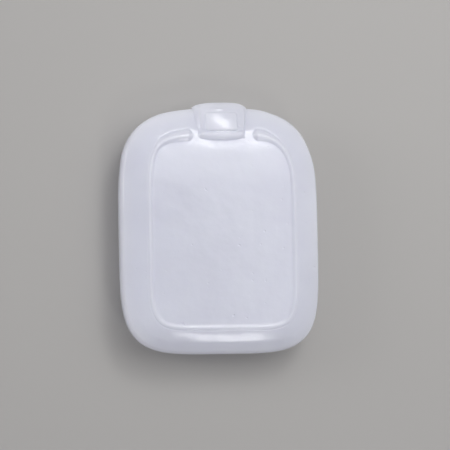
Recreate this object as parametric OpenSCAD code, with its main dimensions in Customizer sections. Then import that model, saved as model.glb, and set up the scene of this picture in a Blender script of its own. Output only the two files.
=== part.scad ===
// Carved jade plaque in one piece, lying on its back with the head towards +Y.
// The face is a flat panel that bends down towards the head, in a bevelled border with a second,
// steeper bevel round the foot. A fine raised line follows the panel and swells into a ridge on
// each side of the head, a raised block with a small tablet on its arched face.
// A slanting hole for a cord runs from the crown of the head to the back.

/* [Body] */
// Width of the plaque
body_w = 44.6; // [38:0.2:50]
// Height of the plaque without the rise of the head
body_h = 54.3; // [48:0.1:60]
// Height of the widest outline above the back
edge_z = 7.3; // [6.9:0.1:7.5]
// Rise of the panel above the widest outline
face_rise = 3.9; // [3.7:0.1:4.4]
// Distance from the top of the outline at which the panel begins to bend down to the head
bend_start = 16.5; // [14:0.5:17]
// Radius of the panel's bend
bend_r = 39; // [37:1:60]
// Width of the rounded edge of the face
edge_reach = 0.8; // [0.6:0.1:1.4]
// Slope of the border beside the head, in degrees
head_bevel = 22; // [16:1:24]
// Slope of the border at the sides, in degrees
side_bevel = 20; // [12:1:24]
// Slope of the border at the bottom, in degrees
foot_bevel = 16; // [10:1:22]
// Width of the steeper bevel round the foot, as a share of the border
step_w = 0.5; // [0.4:0.05:0.6]
// Slope of the steeper bevel round the foot, in degrees
step_slope = 38; // [30:1:42]
// Squareness of the upper corners at their sides, where 2 is round
upper_side_square = 3.1; // [2.6:0.1:4]
// Squareness of the upper corners at their top
upper_end_square = 4.1; // [3:0.1:5]
// Squareness of the lower corners at their sides
lower_side_square = 4.4; // [3:0.1:6]
// Squareness of the lower corners at their bottom
lower_end_square = 5.1; // [3.5:0.1:6]
// Fullness of the rounded edges, where 2 is an ellipse
fullness = 2.2; // [2:0.1:2.8]

/* [Panel] */
// Distance of the raised line from the outline at the sides
side_border = 6.1; // [5.4:0.1:6.8]
// Distance of the raised line from the outline at the top
top_border = 5.95; // [5.6:0.05:6.3]
// Distance of the raised line from the outline at the bottom
bottom_border = 5.85; // [5.4:0.05:6.6]
// Squareness of the raised line's upper corners
line_upper_square = 4.8; // [3.5:0.1:5.5]
// Squareness of the raised line's lower corners
line_lower_square = 7; // [5:0.1:9]
// Width of the raised line at the sides
line_w = 1.2; // [0.8:0.05:1.8]
// Width of the raised line at the bottom
line_foot_w = 1.7; // [0.8:0.05:1.8]
// Height of the raised line at the sides
line_h = 0.15; // [0.1:0.01:0.25]
// Depth of the panel below the border at the sides and the bottom
recess = 0.1; // [0:0.02:0.3]
// Depth of the groove along the outside of the raised line
groove = 0.02; // [0:0.01:0.1]

/* [Ridges] */
// Width of a ridge at its end beside the head
ridge_w = 2.5; // [1.9:0.1:2.8]
// Height of a ridge
ridge_h = 0.46; // [0.3:0.02:0.7]
// Distance of a ridge's tip from the middle of the plaque
ridge_tip = 6.7; // [6.5:0.05:8]

/* [Head] */
// Width of the head at the top of the body
head_w = 12.3; // [11:0.1:12.6]
// Width of the head at its lower edge
head_low_w = 10.7; // [10:0.1:11]
// Rise of the crown above the top of the body
crown = 1.3; // [0.9:0.05:1.7]
// Width of the crown's rounded edge
crown_reach = 1.6; // [1:0.1:2.2]
// Height of the head's face above the slope at its lower lip
head_h = 0.8; // [0.7:0.05:1.2]
// Slope of the head's face at its lower lip, in degrees
head_slope = 7; // [5:0.5:8]
// Radius of the head's face from its lip to its crown
head_r = 18; // [17:1:26]
// Radius of the arch across the head at its tablet
arch_r = 22; // [20:1:30]
// Radius of the arch across the head at its lip
lip_arch_r = 30; // [24:1:60]
// Radius of the rolled lip
lip_r = 1.7; // [1.4:0.1:2.4]
// Bow of the lower edge
lower_bow = 0.5; // [0.2:0.05:0.7]
// Width of the small tablet
tablet_w = 7.2; // [5:0.1:8]
// Distance from the top of the crown to the small tablet
tablet_drop = 2.3; // [2:0.1:3]
// Height of the small tablet above the head's face
tablet_h = 0.2; // [0.1:0.05:0.3]

/* [Cord hole] */
// Diameter of the cord hole
hole_d = 1.8; // [1.4:0.1:2]
// Height of the hole's mouth in the crown above the back
mouth_z = 5.8; // [5.4:0.1:6]
// Distance of the hole's other mouth from the top of the crown
exit_drop = 6.65; // [6.4:0.05:7.2]

/* [Hidden] */

// Half sizes of the outline, the raised line and the flat of the back, and the squareness of
// their upper and lower corners, each at the side and at the end
back_border = 4.7;
outline_half = [body_w, body_h] / 2;
line_half = outline_half - [side_border, (top_border + bottom_border) / 2];
back_half = outline_half - [back_border, back_border];
outline_square = [[upper_side_square, upper_end_square], [lower_side_square, lower_end_square]];
line_square = [[1, 1] * line_upper_square, [1, 1] * line_lower_square];
back_square = [[4, 4], [4, 4]];
line_shift = [0, (bottom_border - top_border) / 2];

// The turn of a point is its direction from the middle, in degrees from the top. These are the
// turns of the head's flank at the outline and at the raised line, of a ridge's tip, of the
// middle of its rounded end, the ones over which it narrows and flattens to the raised line, and
// the one over which the panel beside the head gives way to the border
line_top = line_half.y + line_shift.y;
flank_turn = [atan(head_w / body_h), atan(head_low_w / 2 / line_top)];
tip_turn = atan(ridge_tip / line_top);
end_turn = atan((ridge_tip + ridge_w / 2) / line_top);
narrow_turn = 22;
flatten_turn = 42;
beside_turn = 30;
// Length along the raised line of 1 degree at the ridge's end
degree_l = line_half.y * PI / 180 / pow(cos(end_turn), 2);

function ease(t) = let(u = max(0, min(1, t))) u * u * (3 - 2 * u);
function mix(a, b, t) = a + (b - a) * t;
// Steps from a to b, crowded together at b, or at a
crowding = 1.4;
function closing(a, b, count) = [for (k = [1 : count]) mix(b, a, pow(1 - k / count, crowding))];
function opening(a, b, count) = [for (k = [1 : count]) mix(a, b, pow(k / count, crowding))];

// Columns run from the top down one side: 0 to 1 across the head, 1 to 2 down to the middle
// of the side, 2 to 3 down to the middle of the bottom
function column(g) = mix(1, 2, (g - flank_turn[1]) / (90 - flank_turn[1]));
lip_column = 0.955;
tablet_column = tablet_w / head_w;
tip_column = column(tip_turn);
end_column = column(end_turn);
corner_column = 3 - atan(line_half.x / line_half.y) / 90;
half_columns = concat(
    [0, 0.2, 0.35, tablet_column - 0.03, tablet_column + 0.03, 0.75, 0.88, lip_column, 1],
    [mix(1, tip_column, 0.6), tip_column], opening(tip_column, end_column, 4),
    [for (k = [1 : 27]) mix(end_column, 2, k / 27)],
    closing(2, corner_column, 13), opening(corner_column, 3, 13));
last_column = len(half_columns) - 1;
columns = concat([for (c = half_columns) [c, 1]],
    [for (k = [last_column - 1 : -1 : 1]) [half_columns[k], -1]]);

// Stations across the back's edge in degrees, across the border from the outline at 0 to the
// foot of the raised line at 1, across the raised line in half widths from its crest, and
// across the panel as shares of its size
foot = -1.3;
line_end = 1.5;
lip_w = 2.2;
tablet_station = tablet_drop / (top_border + crown + foot * lip_w / 2);
tablet_foot = -0.88;
lip_station = 0.5;
lip_foot = 0.87;
back_stations = [90 : -15 : 15];
border_stations = concat([for (k = [0 : 7]) tablet_station * pow(k / 7, 2)],
    [mix(tablet_station, 1, 0.05)], [for (k = [0 : 2]) mix(step_w, 1, k / 3)]);
line_stations = [foot, tablet_foot - 0.1, tablet_foot + 0.1, -0.4, 0, 0.25,
    lip_station, lip_foot, 1.1, line_end];
panel_stations = [0.97, 0.92, 0.85, 0.77, 0.68, 0.59, 0.5];

// Turn of a column, where s is 0 at the outline and 1 at the raised line
function turn(c, s) = let(f = mix(flank_turn[0], flank_turn[1], s))
    c < 1 ? c * f : c < 2 ? mix(f, 90, c - 1) : 90 * (c - 1);

// Point of a squared oval in the direction of a turn, closed in on in a few rounds, and the
// outward normal there
function oval(half, squares, g) = let(n = squares[g < 90 ? 0 : 1])
    oval_round(half, n, half.y * [sin(g), cos(g)], 7);
function oval_round(half, n, p, rounds) =
    let(f = pow(p.x / half.x, n.x) + pow(abs(p.y) / half.y, n.y))
    rounds == 0 ? p : oval_round(half, n, p * pow(f, -1 / max(n)), rounds - 1);
function oval_normal(half, squares, p) =
    let(n = squares[p.y > 0 ? 0 : 1],
        v = [n.x * pow(p.x / half.x, n.x - 1) / half.x,
            sign(p.y) * n.y * pow(abs(p.y) / half.y, n.y - 1) / half.y])
    v / norm(v);

// Half width of the raised line, which swells into the ridges, passes under the head's lip and is
// a little wider at the bottom
foot_turn = 120;
foot_wide_turn = 160;
function thin_line(g) = mix(line_w, line_foot_w, ease((g - foot_turn) / (foot_wide_turn - foot_turn)));
function half_line(g) = g > end_turn ? mix(ridge_w, thin_line(g), ease((g - end_turn) / narrow_turn)) / 2
    : mix(lip_w, ridge_w, ease((g - flank_turn[1]) / (end_turn - flank_turn[1]))) / 2;

// Point across the raised line, e half widths inside its crest, with the head's edge bowed
function line_point(c, e) =
    let(g = turn(c, 1), p = oval(line_half, line_square, g),
        bow = c < 1 ? lower_bow * (1 - c * c) * ease((e - foot) / 2) : 0)
    p + line_shift - e * half_line(g) * oval_normal(line_half, line_square, p) - [0, bow];

// Point across the border, from the outline to the foot of the raised line
function border_point(c, s) =
    let(rise = c < 1 ? crown * sqrt(1 - pow(c, 4)) : 0)
    mix(oval(outline_half, outline_square, turn(c, s)) + [0, rise], line_point(c, foot), s);

// Height of a rounded edge of fullness n, as a share, at a share of its width
function swell(s, n) = pow(1 - pow(1 - min(s, 1), n), 1 / n);

// Height of the panel, which bends down towards the head
function ground_z(y) = edge_z + face_rise - pow(max(0, y - outline_half.y + bend_start), 2) / 2 / bend_r;

// Slope of the border, as a tangent, and how much steeper its outer part is round the foot, which
// sets in between two columns
step_start = 2.5;
step_full = 2.7;
function bevel(c) = tan(c < 2 ? mix(head_bevel, side_bevel, ease(c - 1))
    : mix(side_bevel, foot_bevel, ease(c - 2)));
function steeper(c) = (tan(step_slope) - bevel(c)) * ease((c - step_start) / (step_full - step_start));

// Height of the border, which has a rounded edge. Its inner end is higher than the panel by the
// recess, except beside the head
function beside(c) = 1 - ease((turn(c, 1) - flank_turn[1]) / beside_turn);
function border_width(c) = norm(border_point(c, 0) - line_point(c, foot));
function drop_to_panel(c) = recess * (1 - beside(c));
function border_z(c, s) =
    let(width = border_width(c),
        z = ground_z(line_point(c, foot).y) + drop_to_panel(c) - bevel(c) * width * (1 - s)
            - steeper(c) * width * max(0, step_w - s))
    edge_z + (z - edge_z) * swell(s * width / edge_reach, fullness);

// Height of the ground across the raised line, which leaves the border at the border's slope
function line_ground(c, e, y) =
    let(t = (e - foot) / (line_end - foot),
        outer = line_point(c, foot), inner = line_point(c, line_end),
        extra = bevel(c) * norm(inner - outer) - ground_z(inner.y) + ground_z(outer.y))
    ground_z(y) + drop_to_panel(c) * (1 - ease(t)) + extra * t * pow(1 - t, 2);

// Height of the raised line and its ridges above the ground, half a cosine wave across, with
// round ends. The groove's middle and half width are in half widths of the line
groove_e = -1;
groove_half = 0.25;
function bump(g, e) =
    let(full = half_line(max(g, end_turn)), r = norm([e * half_line(g), max(0, end_turn - g) * degree_l]) / full,
        steepness = mix(ridge_h / ridge_w, line_h / line_w, ease((g - end_turn) / flatten_turn)))
    r < 1 ? 2 * full * steepness * cos(90 * r) : 0;
function line_z(c, e, y) =
    let(g = turn(c, 1), cut = g > end_turn ? groove * ease(1 - abs(e - groove_e) / groove_half) : 0)
    line_ground(c, e, y) + bump(g, e) - cut;

// Height of the head's face, arched both ways, with a rounded crown and a rolled lip. The flatter
// arch of the lip is left behind within the length of the arch's change
crown_fullness = 2.4;
arch_change = 1.5;
function head_z(c, s, e, p) =
    let(on_tablet = c < tablet_column && s >= tablet_station && e < tablet_foot,
        up = p.y - line_top, roll = max(0, lower_bow * c * c - up),
        arch = p.x * p.x / 2 * mix(1 / lip_arch_r, 1 / arch_r, ease(up / arch_change)),
        z = ground_z(line_top) + head_h - tan(head_slope) * up - up * up / 2 / head_r - arch
            - roll * roll / 2 / lip_r + (on_tablet ? tablet_h : 0))
    edge_z + (z - edge_z) * swell(s * border_width(c) / crown_reach, crown_fullness);

// Share of the head in the height of a point
function head_share(c, e) =
    ease((1 - c) / (1 - lip_column)) * ease((lip_foot - e) / (lip_foot - lip_station));
function with_head(c, s, e, p, z) = let(share = head_share(c, e))
    share > 0 ? mix(z, head_z(c, s, e, p), share) : z;

// Rings of points, one point a column, from the back over the outline to the panel
function back_ring(angle) = let(s = 1 - cos(angle)) [for (k = columns)
    let(p = mix(border_point(k[0], 0), oval(back_half, back_square, turn(k[0], 1)), s))
    [k[1] * p.x, p.y, edge_z * (1 - swell(s, fullness))]];
function border_ring(s) = [for (k = columns)
    let(c = k[0], p = border_point(c, s))
    [k[1] * p.x, p.y, with_head(c, s, foot, p, border_z(c, s))]];
function line_ring(e) = [for (k = columns)
    let(c = k[0], p = line_point(c, e))
    [k[1] * p.x, p.y, with_head(c, 1, e, p, line_z(c, e, p.y))]];
function panel_ring(share) = [for (k = columns)
    let(p = share * line_point(k[0], line_end))
    [k[1] * p.x, p.y, ground_z(p.y)]];

module stone() {
    rings = concat([for (angle = back_stations) back_ring(angle)],
        [for (s = border_stations) border_ring(s)], [for (e = line_stations) line_ring(e)],
        [for (share = panel_stations) panel_ring(share)]);
    size = len(columns);
    last = len(rings) - 1;
    back = [for (k = [size - 1 : -1 : 0]) k];
    panel = [for (k = [0 : size - 1]) last * size + k];
    walls = [for (r = [0 : last - 1], k = [0 : size - 1])
        let(near = r * size, far = near + size, next = (k + 1) % size)
        [near + k, near + next, far + next, far + k]];
    polyhedron(points = [for (r = rings, p = r) p], faces = concat([back, panel], walls), convexity = 4);
}

module cord_hole() {
    top = outline_half.y + crown;
    past = 4;
    translate([0, top - exit_drop, 0]) rotate([-atan(exit_drop / mouth_z), 0, 0])
        translate([0, 0, -past])
            cylinder(d = hole_d, h = norm([exit_drop, mouth_z]) + 2 * past, $fn = 48);
}

module plaque() {
    color([0.87, 0.88, 0.92]) translate([0, -crown / 2, 0]) difference() {
        stone();
        cord_hole();
    }
}

plaque();
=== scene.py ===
"""A carved jade plaque, lying on its back on a plain pale floor."""

import functools
import math

import bmesh
import bpy
from mathutils import Matrix, Vector


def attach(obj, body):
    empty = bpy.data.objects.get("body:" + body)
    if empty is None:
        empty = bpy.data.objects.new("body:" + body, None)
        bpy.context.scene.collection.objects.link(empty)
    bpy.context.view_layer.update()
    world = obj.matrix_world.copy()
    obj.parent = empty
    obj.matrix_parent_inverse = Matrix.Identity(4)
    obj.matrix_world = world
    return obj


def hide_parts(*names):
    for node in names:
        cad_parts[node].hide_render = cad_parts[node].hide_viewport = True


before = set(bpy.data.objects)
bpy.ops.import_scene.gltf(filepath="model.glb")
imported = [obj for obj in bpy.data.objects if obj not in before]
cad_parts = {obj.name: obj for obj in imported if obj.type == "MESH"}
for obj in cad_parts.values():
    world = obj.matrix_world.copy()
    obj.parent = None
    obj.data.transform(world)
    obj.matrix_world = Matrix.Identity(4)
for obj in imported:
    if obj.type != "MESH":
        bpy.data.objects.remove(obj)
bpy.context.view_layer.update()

# The plaque
# One piece of white nephrite, sawn to a slab and ground to a pillow with a flat back. The panel,
# the fine raised line, the two ridges and the head are cut out of its face, then the whole is
# polished to a soft gloss. All its sizes are in millimetres, and the finished mesh is scaled.

# Half sizes of the outline and of the raised line, the height of the outline, the widths of the
# head at the outline and at its lip, and how far from the middle a ridge begins
MM = 0.001
HALF_W, HALF_H, EDGE_Z = 22.3, 27.15, 7.3
LINE_HALF_W, LINE_HALF_H = 16.2, 21.2
HEAD_W, HEAD_LOW_W = 12.3, 10.7
RIDGE_TIP, RIDGE_W = 6.7, 2.6


def mix(a, b, share):
    return a + (b - a) * share


def ease(t):
    """A soft step from 0 to 1."""
    t = min(max(t, 0.0), 1.0)
    return t * t * (3 - 2 * t)


def fade(value, start, end):
    """A soft step from 0 at the start to 1 at the end."""
    return ease((value - start) / (end - start))


def swell(s, fullness):
    """Height of a rounded edge, as a share, at a share of its width. A fullness of 2 is round."""
    return (1 - (1 - min(s, 1.0)) ** fullness) ** (1 / fullness)


def tangent(degrees):
    return math.tan(math.radians(degrees))


def turn_of(x, y):
    """Direction of a place from the middle, in degrees from the top of the plaque."""
    return math.degrees(math.atan2(x, y))


FLANK_TURN = (turn_of(HEAD_W / 2, HALF_H), turn_of(HEAD_LOW_W / 2, LINE_HALF_H))
RIDGE_TURN = turn_of(RIDGE_TIP + RIDGE_W / 2, LINE_HALF_H)


def turn(c, s):
    """Turn of column c: 0 to 1 across the head, to 2 at the side and to 3 at the bottom.

    The head's flank leans, from the outline where s is 0 to the raised line where it is 1.
    """
    flank = mix(*FLANK_TURN, s)
    if c < 1:
        return c * flank
    return mix(flank, 90, c - 1) if c < 2 else 90 * (c - 1)


# An oval's corners are squared by a power of x and one of y, first above the middle, then below
OUTLINE_SQUARES = ((3.1, 4.1), (4.4, 5.1))
LINE_SQUARES = ((4.8, 4.8), (7.0, 7.0))
BACK_SQUARES = ((4, 4), (4, 4))
OVAL_STEPS = 9


@functools.cache
def squared_oval(half, squares, angle):
    """Point of an oval with squared corners in the direction of a turn, and its outward normal."""
    power_x, power_y = squares[0 if angle < 90 else 1]
    x = half[1] * math.sin(math.radians(angle))
    y = half[1] * math.cos(math.radians(angle))
    for _ in range(OVAL_STEPS):
        far = (x / half[0]) ** power_x + (abs(y) / half[1]) ** power_y
        pull = far ** (-1 / max(power_x, power_y))
        x, y = x * pull, y * pull
    normal_x = power_x / half[0] * (x / half[0]) ** (power_x - 1)
    normal_y = power_y / half[1] * (abs(y) / half[1]) ** (power_y - 1)
    return Vector((x, y)), Vector((normal_x, math.copysign(normal_y, y))).normalized()


# Places across the raised line are in half widths inside its crest. The line is thin round the
# panel, a little wider round the plaque's foot, and swells into a ridge on each side of the head.
# Its width changes over so many degrees of turn
LINE_START, LINE_END = -1.3, 1.5
LINE_W, LINE_FOOT_W, LIP_W = 1.2, 1.25, 2.2
FOOT_TURN, FOOT_FADE, RIDGE_FADE = 120, 40, 22
LIP_BOW, BOW_REACH = 0.5, 2


def foot_share(angle):
    """1 round the plaque's foot, and 0 at its head and sides."""
    return fade(angle, FOOT_TURN, FOOT_TURN + FOOT_FADE)


def line_half(angle):
    """Half the width of the raised line, which swells into the ridges and passes under the lip."""
    if angle > RIDGE_TURN:
        thin = mix(LINE_W, LINE_FOOT_W, foot_share(angle))
        return mix(RIDGE_W, thin, fade(angle, RIDGE_TURN, RIDGE_TURN + RIDGE_FADE)) / 2
    return mix(LIP_W, RIDGE_W, fade(angle, FLANK_TURN[1], RIDGE_TURN)) / 2


def line_place(c, e):
    """Place across the raised line, e half widths inside its crest."""
    angle = turn(c, 1)
    point, normal = squared_oval((LINE_HALF_W, LINE_HALF_H), LINE_SQUARES, angle)
    bow = LIP_BOW * (1 - c * c) * fade(e, LINE_START, LINE_START + BOW_REACH) if c < 1 else 0
    return point - e * line_half(angle) * normal - Vector((0, bow))


# The crown of the head stands out from the outline. Where the left and the right side differ,
# their numbers are under -1 and 1
CROWN, CROWN_SQUARE = 1.3, {-1: 2.4, 1: 4.0}


def border_place(c, s, side):
    """Place across the border, from the outline at 0 to the start of the raised line at 1."""
    point, _ = squared_oval((HALF_W, HALF_H), OUTLINE_SQUARES, turn(c, s))
    rise = CROWN * math.sqrt(1 - c ** CROWN_SQUARE[side]) if c < 1 else 0
    return mix(point + Vector((0, rise)), line_place(c, LINE_START), s)


# The border is a bevel, RECESS higher than the panel but for a stretch beside the head. Round the
# foot its outer part is steeper, with a soft crease, and its inner part is crowned
PANEL_Z, BEND_START, BEND_R = 11.19, 10.65, 39.0
RECESS, BESIDE_FADE = 0.1, 30
BEVEL_AT_HEAD, BEVEL_AT_SIDE, BEVEL_AT_FOOT = 22, 20, 16
FOOT_STEP, FOOT_STEP_SLOPE, FOOT_STEP_COLUMNS = 0.5, 38, (2.5, 2.7)
CREASE, FOOT_CROWN = 0.25, 0.35
EDGE_REACH, EDGE_FULLNESS = 0.8, 2.2


def ground_z(y):
    """Height of the panel, which bends down towards the head."""
    return PANEL_Z - max(0, y - BEND_START) ** 2 / (2 * BEND_R)


def recess(c):
    """How far the panel lies below the border, which is nothing beside the head."""
    return RECESS * fade(turn(c, 1), FLANK_TURN[1], FLANK_TURN[1] + BESIDE_FADE)


def bevel(c):
    """Slope of the border, as a tangent."""
    if c < 2:
        return tangent(mix(BEVEL_AT_HEAD, BEVEL_AT_SIDE, ease(c - 1)))
    return tangent(mix(BEVEL_AT_SIDE, BEVEL_AT_FOOT, ease(c - 2)))


@functools.cache
def border_form(c):
    """Width of the border, and the height that it has at the start of the raised line."""
    start = line_place(c, LINE_START)
    return (border_place(c, 0, 1) - start).length, ground_z(start.y) + recess(c)


def border_z(c, s):
    """Height of the border, whose outer edge is rounded."""
    width, top = border_form(c)
    top -= bevel(c) * width * (1 - s)
    at_foot = fade(c, *FOOT_STEP_COLUMNS)
    inside = min((1 - s) / (1 - FOOT_STEP), 1)
    top += at_foot * FOOT_CROWN * bevel(c) * width * (1 - FOOT_STEP) * inside * (1 - inside)
    outside = (FOOT_STEP - s) * width
    if outside > -CREASE:
        steeper = tangent(FOOT_STEP_SLOPE) - bevel(c)
        creased = (outside + CREASE) ** 2 / (4 * CREASE)
        top -= at_foot * steeper * (outside if outside > CREASE else creased)
    return EDGE_Z + (top - EDGE_Z) * swell(s * width / EDGE_REACH, EDGE_FULLNESS)


# Rises of the raised line and its ridges, the share by which its inner flank is narrowed round the
# foot, and the groove along its outside, whose middle and half width are in half widths of the line
LINE_RISE, LINE_FOOT_RISE, RIDGE_RISE, STEEP_FADE = 0.15, 0.125, 0.58, 42
INNER_FLANK = 1.1
GROOVE, FOOT_GROOVE = 0.02, 0.06
GROOVE_AT, GROOVE_HALF = 1.1, 0.4
# Length of a degree of turn along the top of the raised line, by the ridges' ends
DEGREE_LENGTH = LINE_HALF_H * math.radians(1) / math.cos(math.radians(RIDGE_TURN)) ** 2


@functools.cache
def extra_slope(c):
    """How much steeper the border comes in than the ground, over the raised line's whole width."""
    start, end = line_place(c, LINE_START), line_place(c, LINE_END)
    return bevel(c) * (end - start).length - ground_z(end.y) + ground_z(start.y)


def line_z(c, e, y):
    """Height of the raised line and of the ridges, which end round beside the head."""
    angle = turn(c, 1)
    full = line_half(max(angle, RIDGE_TURN))
    across = e * line_half(angle) * (mix(1, INNER_FLANK, foot_share(angle)) if e > 0 else 1)
    r = math.hypot(across, max(0, RIDGE_TURN - angle) * DEGREE_LENGTH) / full
    bump = math.cos(math.pi / 2 * r) if r < 1 else 0
    thin = mix(LINE_RISE / LINE_W, LINE_FOOT_RISE / LINE_FOOT_W, foot_share(angle))
    steepness = mix(RIDGE_RISE / RIDGE_W, thin, fade(angle, RIDGE_TURN, RIDGE_TURN + STEEP_FADE))
    groove = mix(GROOVE, FOOT_GROOVE, foot_share(angle))
    outside = e < 0 or angle < RIDGE_TURN
    cut = groove * ease(1 - abs(r - GROOVE_AT) / GROOVE_HALF) if outside else 0
    t = min((e - LINE_START) / (LINE_END - LINE_START), 1)
    ground = ground_z(y) + recess(c) * (1 - ease(t)) + extra_slope(c) * t * (1 - t) ** 2
    return ground + 2 * full * steepness * bump - cut


# The head's face bends down to its crown, arches across with a slight twist, drops at the
# shoulders, and rolls over at the lip, above which a shallow channel is cut. A tablet stands on it
HEAD_RISE, HEAD_LIP_SLOPE, HEAD_R = 0.8, 7.0, 18.0
CROWN_REACH, CROWN_FULLNESS = 1.6, 2.4
LIP_ARCH_R, ARCH_R, ARCH_FULL_Y = 30.0, 22.0, 22.55
TWIST = 0.012
SHOULDER_DROP, SHOULDER_COLUMN = 0.2, 0.85
LIP_ROLL_R, LIP_ROLL_START = 2.1, 21.05
LIP_CHANNEL, LIP_CHANNEL_HALF, LIP_CHANNEL_Y = 0.1, 0.5, 21.85
TABLET_X, TABLET_Y = (-3.45, 3.65), (22.05, 26.08)
TABLET_RISE, TABLET_EDGE, TABLET_CORNER = 0.2, 0.3, 0.5
# Middle, half length, half width and depth of a fine burr above the tablet and of a chip beside it
NICKS = ((-0.2, 26.83, 1.15, 0.32, -0.048), (3.9, 23.05, 0.25, 0.32, 0.08))
# Columns where its flanks begin to fall at the crown and at the lip, and the places across the
# raised line between which it comes up
CROWN_COLUMN, LIP_COLUMN = {-1: 0.64, 1: 0.93}, {-1: 0.86, 1: 0.95}
LIP_FADE = (0.87, 0.5)


def tablet_share(x, y):
    """1 on the small tablet, 0 off it, with a soft edge and rounded corners."""
    centre = Vector((sum(TABLET_X) / 2, sum(TABLET_Y) / 2))
    half = Vector((TABLET_X[1] - TABLET_X[0], TABLET_Y[1] - TABLET_Y[0])) / 2
    dx = abs(x - centre.x) - half.x + TABLET_CORNER
    dy = abs(y - centre.y) - half.y + TABLET_CORNER
    away = math.hypot(max(dx, 0), max(dy, 0)) + min(max(dx, dy), 0) - TABLET_CORNER
    return ease(0.5 - away / TABLET_EDGE)


def nick_depth(x, y):
    """Depth of the nicks, which are even over the middle half of their length."""
    depth = 0
    for at_x, at_y, half_length, half_width, deepest in NICKS:
        along = ease(2 - 2 * abs(x - at_x) / half_length)
        depth += deepest * along * ease(1 - abs(y - at_y) / half_width)
    return depth


def head_z(c, s, x, y):
    """Height of the head's face, with its crown, its lip and its tablet."""
    up = y - LINE_HALF_H
    z = ground_z(LINE_HALF_H) + HEAD_RISE
    z -= tangent(HEAD_LIP_SLOPE) * up + up * up / (2 * HEAD_R)
    high = fade(y, LINE_HALF_H, ARCH_FULL_Y)
    z -= x * x / 2 * mix(1 / LIP_ARCH_R, 1 / ARCH_R, high)
    z -= TWIST * x * (y - sum(TABLET_Y) / 2) * high
    z -= SHOULDER_DROP * (max(0, c - SHOULDER_COLUMN) / (1 - SHOULDER_COLUMN)) ** 2
    level = y - LIP_BOW * c * c
    z -= max(0, LIP_ROLL_START - level) ** 2 / (2 * LIP_ROLL_R)
    z -= LIP_CHANNEL * ease(1 - abs(level - LIP_CHANNEL_Y) / LIP_CHANNEL_HALF)
    z += TABLET_RISE * tablet_share(x, y) - nick_depth(x, y)
    from_crown = s * (border_place(min(c, 1), 0, 1) - line_place(c, LINE_START)).length
    return EDGE_Z + (z - EDGE_Z) * swell(from_crown / CROWN_REACH, CROWN_FULLNESS)


def head_share(c, s, e, side):
    """1 on the head and 0 off it, with a softer flank on the left."""
    flank = mix(CROWN_COLUMN[side], LIP_COLUMN[side], s)
    return fade(c, 1, flank) * fade(e, *LIP_FADE)


# Rings of the mesh run round the plaque. Their stations are degrees over the back's rounded edge,
# shares across the border, half widths across the raised line and shares of the panel
BACK_BORDER, BACK_FULLNESS = 4.7, 2.2


def back_point(c, side, angle):
    s = 1 - math.cos(math.radians(angle))
    flat, _ = squared_oval((HALF_W - BACK_BORDER, HALF_H - BACK_BORDER), BACK_SQUARES, turn(c, 1))
    place = mix(border_place(c, 0, side), flat, s)
    return Vector((side * place.x, place.y, EDGE_Z * (1 - swell(s, BACK_FULLNESS))))


def flat_back_point(c, side, share):
    flat = back_point(c, side, 90)
    return Vector((share * flat.x, share * flat.y, 0))


def border_point(c, side, s):
    place = border_place(c, s, side)
    x, y = side * place.x, place.y
    on_head = head_share(c, s, LINE_START, side)
    return Vector((x, y, mix(border_z(c, s), head_z(c, s, x, y), on_head)))


def line_point(c, side, e):
    place = line_place(c, e)
    x, y = side * place.x, place.y
    on_head = head_share(c, 1, e, side)
    return Vector((x, y, mix(line_z(c, e, y), head_z(c, 1, x, y), on_head)))


def panel_point(c, side, share):
    place = share * line_place(c, LINE_END)
    return Vector((side * place.x, place.y, ground_z(place.y)))


def steps(start, end, count, crowding=1.0):
    """Numbers from the start up to the end, but not the end itself, crowded near the start."""
    return [mix(start, end, (k / count) ** crowding) for k in range(count)]


rings = [(flat_back_point, share) for share in (0.3, 0.9, 0.98)]
rings += [(back_point, angle) for angle in steps(90, 0, 15)]
rings += [(border_point, s) for s in steps(0, 0.3, 30, 1.7) + steps(0.3, 1, 48)]
rings += [(line_point, e) for e in steps(LINE_START, LINE_END, 38) + [LINE_END]]
rings += [(panel_point, share) for share in steps(1, 0.66, 12, 1.5)[1:]]
rings += [(panel_point, share) for share in (0.66, 0.5, 0.35, 0.2, 0.08)]

# Columns run across the rings, closest at the head's flanks, the ridges' ends and the lower corners
ridge_column = 1 + (RIDGE_TURN - FLANK_TURN[1]) / (90 - FLANK_TURN[1])
corner_column = 1 + turn_of(LINE_HALF_W, -LINE_HALF_H) / 90
half_columns = steps(0, LIP_COLUMN[-1], 46)
half_columns += steps(LIP_COLUMN[-1], LIP_COLUMN[1], 8)
half_columns += steps(LIP_COLUMN[1], 1, 6)
half_columns += steps(1, ridge_column, 26)
half_columns += steps(ridge_column, 2, 86, 1.15)
half_columns += (steps(corner_column, 2, 48, 1.3) + [2])[:0:-1]
half_columns += steps(corner_column, 3, 48, 1.3) + [3]
columns = [(c, 1) for c in half_columns] + [(c, -1) for c in half_columns[-2:0:-1]]

stone = bmesh.new()
column_of = stone.verts.layers.int.new("column")
ring = bmesh.ops.create_circle(stone, segments=len(columns), radius=HALF_W)["verts"]
for index, vert in enumerate(ring):
    vert[column_of] = index
loop = list(stone.edges)
bmesh.ops.contextual_create(stone, geom=loop)
for number, (point, station) in enumerate(rings):
    if number:
        grown = bmesh.ops.extrude_edge_only(stone, edges=loop)["geom"]
        ring = [part for part in grown if isinstance(part, bmesh.types.BMVert)]
        new = set(ring)
        edges = [part for part in grown if isinstance(part, bmesh.types.BMEdge)]
        loop = [edge for edge in edges if new.issuperset(edge.verts)]
    for vert in ring:
        c, side = columns[vert[column_of]]
        vert.co = point(c, side, station)
bmesh.ops.contextual_create(stone, geom=loop)
bmesh.ops.recalc_face_normals(stone, faces=stone.faces)

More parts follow.
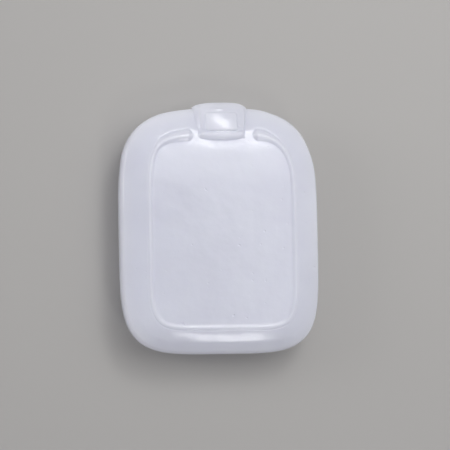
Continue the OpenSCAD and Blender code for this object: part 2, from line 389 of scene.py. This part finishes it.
# Cut by hand, the head and the ridges' ends stand a little right of the middle, the shoulders lean
# to the left, and the foot hangs lower on the right. Each of these comes in between two distances
# from the middle
HEAD_SHIFT, RIDGE_SHIFT, SHOULDER_LEAN = 0.35, 0.7, 0.25
FOOT_TILT, FOOT_LIFT = 0.014, 0.08
RIDGE_AWAY, SHOULDER_AWAY, END_AWAY = (5.6, 6.6), (8, 13), (13, 19)
for vert in stone.verts:
    x, y, _ = vert.co
    shift = mix(HEAD_SHIFT, RIDGE_SHIFT, fade(abs(x), *RIDGE_AWAY))
    shift = mix(shift, -SHOULDER_LEAN, fade(abs(x), *SHOULDER_AWAY))
    vert.co.x += shift * fade(y, *END_AWAY)
    vert.co.y += (FOOT_LIFT - FOOT_TILT * x) * fade(-y, *END_AWAY)
bmesh.ops.translate(stone, vec=(0, -CROWN / 2, 0), verts=stone.verts)
bmesh.ops.scale(stone, vec=(MM, MM, MM), verts=stone.verts)
for face in stone.faces:
    face.smooth = True

mesh = bpy.data.meshes.new("jade_plaque")
stone.to_mesh(mesh)
stone.free()
plaque = bpy.data.objects.new("jade_plaque", mesh)
bpy.context.scene.collection.objects.link(plaque)

# A hole for a cord is drilled aslant from the crown of the head to the back, and its rims are eased
HOLE_R, HOLE_RIM = 0.9, 0.12
HOLE_MOUTH_Z, HOLE_EXIT_DROP = 5.8, 6.65
bore = Vector((0, HOLE_EXIT_DROP, HOLE_MOUTH_Z))
tilt = bore.to_track_quat("Z", "Y").to_matrix().to_4x4()
exit_mouth = Vector((0, HALF_H + CROWN / 2 - HOLE_EXIT_DROP, 0))
drill = bmesh.new()
bmesh.ops.create_cone(
    drill,
    cap_ends=True,
    segments=64,
    radius1=HOLE_R * MM,
    radius2=HOLE_R * MM,
    depth=2 * bore.length * MM,
    matrix=Matrix.Translation((exit_mouth + bore / 2) * MM) @ tilt,
)
for face in drill.faces:
    face.smooth = True
    face.material_index = 1
drill_mesh = bpy.data.meshes.new("drill")
drill.to_mesh(drill_mesh)
drill.free()
drill_object = bpy.data.objects.new("drill", drill_mesh)
bpy.context.scene.collection.objects.link(drill_object)
drilling = plaque.modifiers.new("drilling", "BOOLEAN")
drilling.operation = "DIFFERENCE"
drilling.solver = "EXACT"
drilling.object = drill_object
drilled = bmesh.new()
drilled.from_object(plaque, bpy.context.evaluated_depsgraph_get())
plaque.modifiers.remove(drilling)
bpy.data.objects.remove(drill_object)
rims = [
    edge
    for edge in drilled.edges
    if len(edge.link_faces) == 2 and sum(face.material_index for face in edge.link_faces) == 1
]
bmesh.ops.bevel(
    drilled,
    geom=rims,
    offset=HOLE_RIM * MM,
    offset_type="OFFSET",
    segments=2,
    profile=0.5,
    affect="EDGES",
    clamp_overlap=True,
    material=-1,
)
for face in drilled.faces:
    face.material_index = 0
    face.smooth = True
drilled.to_mesh(mesh)
drilled.free()

# White jade with faint clouds, light that goes a few millimetres into it, and a waxy polish that
# is a little uneven. It has soft hollows from the cutting, fine ripples and a few tiny pits
jade = bpy.data.materials.new("white_jade")
jade.use_nodes = True
nodes, links = jade.node_tree.nodes, jade.node_tree.links
shader = nodes["Principled BSDF"]
place = nodes.new("ShaderNodeTexCoord")


def noise(name, scale, detail):
    """Noise over the stone, whose scale is in waves a metre."""
    texture = nodes.new("ShaderNodeTexNoise")
    texture.name = name
    texture.inputs["Scale"].default_value = scale
    texture.inputs["Detail"].default_value = detail
    links.new(place.outputs["Object"], texture.inputs["Vector"])
    return texture.outputs["Fac"]


def spread(value, source, target):
    """The part of a noise between two levels, spread over another range."""
    node = nodes.new("ShaderNodeMapRange")
    node.inputs["From Min"].default_value, node.inputs["From Max"].default_value = source
    node.inputs["To Min"].default_value, node.inputs["To Max"].default_value = target
    links.new(value, node.inputs["Value"])
    return node.outputs["Result"]


tones = nodes.new("ShaderNodeValToRGB")
tones.color_ramp.elements[0].position = 0.3
tones.color_ramp.elements[0].color = (0.72, 0.73, 0.82, 1)
tones.color_ramp.elements[1].position = 0.7
tones.color_ramp.elements[1].color = (0.76, 0.775, 0.86, 1)
links.new(noise("clouds", 90, 4), tones.inputs["Fac"])
links.new(tones.outputs["Color"], shader.inputs["Base Color"])
worn = spread(noise("polish", 260, 3), (0.35, 0.65), (0.12, 0.18))
links.new(worn, shader.inputs["Roughness"])
# Each relief with its height in metres
reliefs = (
    (noise("hand_cut", 190, 1), 0.00011),
    (noise("ripples", 620, 2), 0.00003),
    (spread(noise("marks", 700, 1), (0.73, 0.83), (0, 1)), -0.00005),
)
surface = None
for relief, height in reliefs:
    bump = nodes.new("ShaderNodeBump")
    bump.inputs["Distance"].default_value = height
    links.new(relief, bump.inputs["Height"])
    if surface:
        links.new(surface, bump.inputs["Normal"])
    surface = bump.outputs["Normal"]
links.new(surface, shader.inputs["Normal"])
shader.inputs["IOR"].default_value = 1.61
shader.inputs["Subsurface Weight"].default_value = 0.8
shader.inputs["Subsurface Radius"].default_value = (1.0, 0.95, 1.0)
shader.inputs["Subsurface Scale"].default_value = 0.008
plaque.data.materials.append(jade)

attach(plaque, "root")
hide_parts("plaque")

# The floor
# A plain sheet of pale paper, three metres wide, so that it fills every view. It lies a hair below
# the plaque's flat back, so that the two faces aren't in one plane.
FLOOR_HALF, FLOOR_GAP = 1.5, 0.00005
sheet = bmesh.new()
bmesh.ops.create_grid(sheet, x_segments=1, y_segments=1, size=FLOOR_HALF)
bmesh.ops.translate(sheet, vec=(0, 0, -FLOOR_GAP), verts=sheet.verts)
floor_mesh = bpy.data.meshes.new("floor")
sheet.to_mesh(floor_mesh)
sheet.free()
floor = bpy.data.objects.new("floor", floor_mesh)
bpy.context.scene.collection.objects.link(floor)
paper = bpy.data.materials.new("pale_paper")
paper.use_nodes = True
paper_shader = paper.node_tree.nodes["Principled BSDF"]
paper_shader.inputs["Base Color"].default_value = (0.5, 0.488, 0.47, 1)
paper_shader.inputs["Roughness"].default_value = 0.7
floor.data.materials.append(paper)

# The camera
# It looks down on the face, leaning a little to the left and to the foot of the plaque, and stands
# half a metre away.
YAW, PITCH, ROLL = math.radians(13), math.radians(1.57), math.radians(1.15)
DISTANCE = 0.5
MM_A_PIXEL, PIXELS = 0.2206, 450
AIM = Vector((0, 0, EDGE_Z)) * MM
AIM_PIXEL = (219.1, 228.3)
back = Vector((-math.sin(YAW), -math.tan(PITCH), math.cos(YAW))).normalized()
right = Vector((0, 1, 0)).cross(back).normalized()
up = back.cross(right)
right, up = (
    right * math.cos(ROLL) - up * math.sin(ROLL),
    right * math.sin(ROLL) + up * math.cos(ROLL),
)
off_centre = (PIXELS / 2 - AIM_PIXEL[0]) * right + (AIM_PIXEL[1] - PIXELS / 2) * up
camera = bpy.data.objects.new("camera", bpy.data.cameras.new("camera"))
camera.data.lens = camera.data.sensor_width * DISTANCE / (PIXELS * MM_A_PIXEL * MM)
camera.matrix_world = (
    Matrix.Translation(AIM + off_centre * MM_A_PIXEL * MM + back * DISTANCE)
    @ Matrix((right, up, back)).transposed().to_4x4()
)
bpy.context.scene.collection.objects.link(camera)
bpy.context.scene.camera = camera

# The light
# A faintly blue room that is bright low down, and white soft boxes round the plaque: most of them
# above its head, two wide ones at its sides, a narrow one for the foot and one low on the left.
room = bpy.data.worlds.new("room")
room.use_nodes = True
sky = room.node_tree.nodes
direction = sky.new("ShaderNodeTexCoord")
slant = sky.new("ShaderNodeVectorMath")
slant.operation = "DOT_PRODUCT"
slant.inputs[1].default_value = (-0.083, 0.039, -0.696)
level = sky.new("ShaderNodeMath")
level.operation = "ADD"
level.inputs[1].default_value = 0.76
tint = sky.new("ShaderNodeVectorMath")
tint.operation = "SCALE"
tint.inputs[0].default_value = (0.95, 0.95, 1.0)
room.node_tree.links.new(direction.outputs["Generated"], slant.inputs[0])
room.node_tree.links.new(slant.outputs["Value"], level.inputs[0])
room.node_tree.links.new(level.outputs[0], tint.inputs["Scale"])
room.node_tree.links.new(tint.outputs[0], sky["Background"].inputs["Color"])
bpy.context.scene.world = room
bpy.context.scene.view_settings.view_transform = "Standard"


def soft_box(name, slope, distance, size, radiance):
    """A rectangular light, mirrored by a face that slopes so much to the right and to the head."""
    lamp = bpy.data.objects.new(name, bpy.data.lights.new(name, "AREA"))
    lamp.data.shape = "RECTANGLE"
    lamp.data.size, lamp.data.size_y = size
    lamp.data.energy = radiance * math.pi * size[0] * size[1]
    normal = Vector([tangent(angle) for angle in slope] + [1]).normalized()
    line = 2 * normal.dot(back) * normal - back
    lamp.location = AIM + line * distance
    lamp.rotation_euler = line.to_track_quat("Z", "Y").to_euler()
    lamp.visible_camera = False
    bpy.context.scene.collection.objects.link(lamp)


soft_box("head_light", (-0.4, 17.8), 0.45, (0.12, 0.11), 5.0)
soft_box("head_halo", (0, 16), 0.455, (0.22, 0.2), 1.0)
soft_box("head_glow", (0, 14), 0.25, (0.22, 0.22), 0.5)
soft_box("middle_glow", (0, 4), 0.26, (0.19, 0.19), 0.73)
soft_box("right_glow", (12, 5), 0.27, (0.16, 0.27), 0.62)
soft_box("left_glow", (-11, 12), 0.46, (0.3, 0.45), 0.3)
soft_box("left_low_light", (-45, 12), 0.45, (0.17, 0.4), 2.4)
soft_box("foot_light", (-0.3, -20), 0.45, (0.06, 0.12), 5.8)
